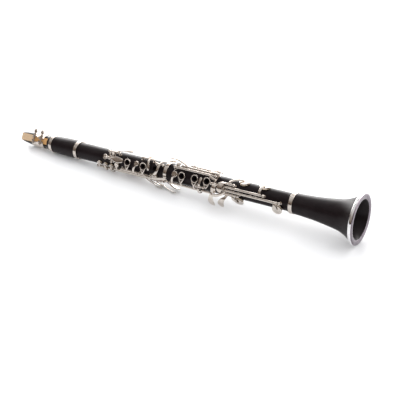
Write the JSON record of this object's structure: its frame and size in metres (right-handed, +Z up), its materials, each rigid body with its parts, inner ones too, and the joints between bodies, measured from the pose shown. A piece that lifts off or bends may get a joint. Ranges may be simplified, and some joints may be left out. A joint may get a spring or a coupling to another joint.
{
  "type": "clarinet",
  "caption": "Clarinet of five jointed sections in satin black with bright sprung keys, rings and rods, a reed held by a ligature, lying on its bell rim.",
  "frame": {"origin": "on the floor, under the middle of the clarinet's box as it lies", "axes": "+X from the mouthpiece towards the bell, level; +Z up; the bore rises 2.35 degrees towards the bell; the finger holes face 58.5 degrees from up towards -Y"},
  "size_m": [0.6694, 0.08, 0.08],
  "materials": {
    "mouthpiece_resin": "polished black hard rubber",
    "blackwood": "satin black resin with a faint grain",
    "nickel": "polished nickel plate",
    "cork": "fine cork",
    "cane": "pale reed cane",
    "steel": "blued spring steel and bright rods",
    "pad_skin": "pale bladder skin over felt"
  },
  "bodies": {
    "upper": {"upper_joint_body": "blackwood", "upper_tenon_corks": "cork", "bore_inserts": "nickel", "posts_upper": "nickel", "rods_upper": "steel", "springs_upper": "steel"},
    "lower": {"lower_joint_body": "blackwood", "lower_joint_ring": "nickel", "lower_tenon_cork": "cork", "thumb_rest": "nickel", "posts_lower": "nickel", "rods_lower": "steel", "springs_lower": "steel"},
    "barrel": {"barrel_body": "blackwood", "barrel_rings": "nickel"},
    "mouthpiece": {"mouthpiece": "mouthpiece_resin", "mouthpiece_cork": "cork", "reed": "cane", "ligature_band": "nickel"},
    "bell": {"bell_body": "blackwood", "bell_socket_ring": "nickel", "bell_rim_ring": "nickel"},
    "ligature_screw_upper": {"ligature_screw_upper": "nickel"},
    "ligature_screw_lower": {"ligature_screw_lower": "nickel"},
    "register_key": {"register_key": "nickel", "register_pad": "pad_skin"},
    "throat_a_key": {"throat_a_key": "nickel", "throat_a_pad": "pad_skin"},
    "throat_g_sharp_key": {"throat_g_sharp_key": "nickel", "throat_g_sharp_pad": "pad_skin"},
    "side_key_1": {"side_key_1": "nickel", "side_1_pad": "pad_skin"},
    "side_key_2": {"side_key_2": "nickel", "side_2_pad": "pad_skin"},
    "side_key_3": {"side_key_3": "nickel", "side_3_pad": "pad_skin"},
    "side_key_4": {"side_key_4": "nickel", "side_4_pad": "pad_skin"},
    "upper_ring_key_1": {"upper_ring_key_1": "nickel", "upper_ring_1_pad": "pad_skin"},
    "upper_ring_key_2": {"upper_ring_key_2": "nickel"},
    "thumb_ring_key": {"thumb_ring_key": "nickel", "thumb_ring_pad": "pad_skin"},
    "left_sliver_key": {"left_sliver_key": "nickel"},
    "c_sharp_key": {"c_sharp_key": "nickel", "c_sharp_pad": "pad_skin"},
    "lower_ring_key": {"lower_ring_key": "nickel", "lower_ring_pad": "pad_skin"},
    "right_sliver_key": {"right_sliver_key": "nickel"},
    "a_flat_key": {"a_flat_key": "nickel", "a_flat_pad": "pad_skin"},
    "f_sharp_key": {"f_sharp_key": "nickel", "f_sharp_pad": "pad_skin"},
    "e_key": {"e_key": "nickel", "e_pad": "pad_skin"},
    "f_key": {"f_key": "nickel", "f_pad": "pad_skin"},
    "left_f_sharp_lever": {"left_f_sharp_lever": "nickel"},
    "left_f_lever": {"left_f_lever": "nickel"},
    "left_e_lever": {"left_e_lever": "nickel"}
  },
  "joints": [
    {"name": "register_press", "type": "hinge", "parent": "upper", "child": "register_key", "pos_m": [-0.13805, 0.01586, 0.01108], "axis": [-0.0349, 0.5225, 0.8519], "range_deg": [-3, 0], "stiffness_Nm_per_rad": 0.02, "springref_deg": 14.32},
    {"name": "throat_a_press", "type": "hinge", "parent": "upper", "child": "throat_a_key", "pos_m": [-0.11389, -0.01654, 0.03194], "axis": [-0.0349, 0.5225, 0.8519], "range_deg": [0, 6.5], "stiffness_Nm_per_rad": 0.02, "springref_deg": -14.32},
    {"name": "throat_g_sharp_press", "type": "hinge", "parent": "upper", "child": "throat_g_sharp_key", "pos_m": [-0.11468, -0.00788, 0.03907], "axis": [0.9992, 0, 0.041], "range_deg": [-8, 0], "stiffness_Nm_per_rad": 0.02, "springref_deg": 14.32},
    {"name": "side_1_press", "type": "hinge", "parent": "upper", "child": "side_key_1", "pos_m": [-0.07308, -0.01508, 0.0131], "axis": [0.9992, 0, 0.041], "range_deg": [0, 9], "stiffness_Nm_per_rad": 0.02, "springref_deg": -14.32},
    {"name": "side_2_press", "type": "hinge", "parent": "upper", "child": "side_key_2", "pos_m": [-0.08483, -0.00845, 0.00675], "axis": [0.9992, 0, 0.041], "range_deg": [0, 8], "stiffness_Nm_per_rad": 0.02, "springref_deg": -14.32},
    {"name": "side_3_press", "type": "hinge", "parent": "upper", "child": "side_key_3", "pos_m": [-0.08294, -0.01213, 0.00935], "axis": [0.9992, 0, 0.041], "range_deg": [0, 9], "stiffness_Nm_per_rad": 0.02, "springref_deg": -14.32},
    {"name": "side_4_press", "type": "hinge", "parent": "upper", "child": "side_key_4", "pos_m": [-0.06978, -0.00427, 0.0058], "axis": [0.9992, 0, 0.041], "range_deg": [0, 8], "stiffness_Nm_per_rad": 0.02, "springref_deg": -14.32},
    {"name": "upper_ring_1_press", "type": "hinge", "parent": "upper", "child": "upper_ring_key_1", "pos_m": [-0.07525, -0.01753, 0.01717], "axis": [0.9992, 0, 0.041], "range_deg": [-5, 0], "stiffness_Nm_per_rad": 0.02, "springref_deg": 14.32},
    {"name": "upper_ring_2_press", "type": "hinge", "parent": "upper", "child": "upper_ring_key_2", "pos_m": [-0.04567, -0.01753, 0.01838], "axis": [0.9992, 0, 0.041], "range_deg": [-5, 0], "stiffness_Nm_per_rad": 0.02, "springref_deg": 14.32},
    {"name": "thumb_ring_press", "type": "hinge", "parent": "upper", "child": "thumb_ring_key", "pos_m": [-0.08377, 0.0059, 0.00538], "axis": [0.9992, 0, 0.041], "range_deg": [0, 5], "stiffness_Nm_per_rad": 0.02, "springref_deg": -14.32},
    {"name": "left_sliver_press", "type": "hinge", "parent": "upper", "child": "left_sliver_key", "pos_m": [-0.04578, -0.00471, 0.04281], "axis": [0.9992, 0, 0.041], "range_deg": [0, 7], "stiffness_Nm_per_rad": 0.02, "springref_deg": -14.32},
    {"name": "c_sharp_press", "type": "hinge", "parent": "upper", "child": "c_sharp_key", "pos_m": [-0.01841, -0.01016, 0.04167], "axis": [0.9992, 0, 0.041], "range_deg": [-6, 0], "stiffness_Nm_per_rad": 0.02, "springref_deg": 14.32},
    {"name": "lower_ring_press", "type": "hinge", "parent": "lower", "child": "lower_ring_key", "pos_m": [0.04627, -0.0167, 0.01929], "axis": [0.9992, 0, 0.041], "range_deg": [-5, 0], "stiffness_Nm_per_rad": 0.02, "springref_deg": 14.32},
    {"name": "right_sliver_press", "type": "hinge", "parent": "lower", "child": "right_sliver_key", "pos_m": [0.06496, -0.01868, 0.02701], "axis": [0.9992, 0, 0.041], "range_deg": [-6, 0], "stiffness_Nm_per_rad": 0.02, "springref_deg": 14.32},
    {"name": "a_flat_press", "type": "hinge", "parent": "lower", "child": "a_flat_key", "pos_m": [0.11579, -0.01498, 0.04448], "axis": [0.9992, 0, 0.041], "range_deg": [0, 7], "stiffness_Nm_per_rad": 0.02, "springref_deg": -14.32},
    {"name": "f_sharp_press", "type": "hinge", "parent": "lower", "child": "f_sharp_key", "pos_m": [0.13295, -0.0179, 0.04086], "axis": [0.9992, 0, 0.041], "range_deg": [0, 8], "stiffness_Nm_per_rad": 0.02, "springref_deg": -14.32},
    {"name": "e_press", "type": "hinge", "parent": "lower", "child": "e_key", "pos_m": [0.1584, -0.01967, 0.03662], "axis": [0.9992, 0, 0.041], "range_deg": [0, 10], "stiffness_Nm_per_rad": 0.02, "springref_deg": -14.32},
    {"name": "f_press", "type": "hinge", "parent": "lower", "child": "f_key", "pos_m": [0.1239, -0.01951, 0.02967], "axis": [0.9992, 0, 0.041], "range_deg": [0, 10], "stiffness_Nm_per_rad": 0.02, "springref_deg": -14.32},
    {"name": "left_f_sharp_press", "type": "hinge", "parent": "lower", "child": "left_f_sharp_lever", "pos_m": [0.05016, -0.00892, 0.04644], "axis": [0.9992, 0, 0.041], "range_deg": [-9.6, 0], "stiffness_Nm_per_rad": 0.02, "springref_deg": 14.32},
    {"name": "left_f_press", "type": "hinge", "parent": "lower", "child": "left_f_lever", "pos_m": [0.0561, -0.00354, 0.04786], "axis": [0.9992, 0, 0.041], "range_deg": [-8, 0], "stiffness_Nm_per_rad": 0.02, "springref_deg": 14.32},
    {"name": "left_e_press", "type": "hinge", "parent": "lower", "child": "left_e_lever", "pos_m": [0.06359, 0.00186, 0.04841], "axis": [0.9992, 0, 0.041], "range_deg": [-8, 0], "stiffness_Nm_per_rad": 0.02, "springref_deg": 14.32},
    {"name": "ligature_screw_upper_turn", "type": "hinge", "parent": "mouthpiece", "child": "ligature_screw_upper", "pos_m": [-0.29913, -0.01266, 0.02197], "axis": [-0.0349, 0.5225, 0.8519], "range_deg": [-540, 180]},
    {"name": "ligature_screw_lower_turn", "type": "hinge", "parent": "mouthpiece", "child": "ligature_screw_lower", "pos_m": [-0.28315, -0.01266, 0.02262], "axis": [-0.0349, 0.5225, 0.8519], "range_deg": [-540, 180]},
    {"name": "barrel_slide", "type": "slide", "parent": "upper", "child": "barrel", "axis": [-0.9992, 0, -0.041], "range_m": [0, 0.003]},
    {"name": "mouthpiece_slide", "type": "slide", "parent": "barrel", "child": "mouthpiece", "axis": [-0.9992, 0, -0.041], "range_m": [0, 0.002]},
    {"name": "middle_joint_slide", "type": "slide", "parent": "upper", "child": "lower", "axis": [0.9992, 0, 0.041], "range_m": [0, 0.002]},
    {"name": "bell_slide", "type": "slide", "parent": "lower", "child": "bell", "axis": [0.9992, 0, 0.041], "range_m": [0, 0.003]}
  ],
  "couplings": [
    {"joint": "left_f_sharp_press", "follows": "f_sharp_press", "ratio": -1.2},
    {"joint": "left_f_press", "follows": "f_press", "ratio": -0.8},
    {"joint": "left_e_press", "follows": "e_press", "ratio": -0.8}
  ]
}
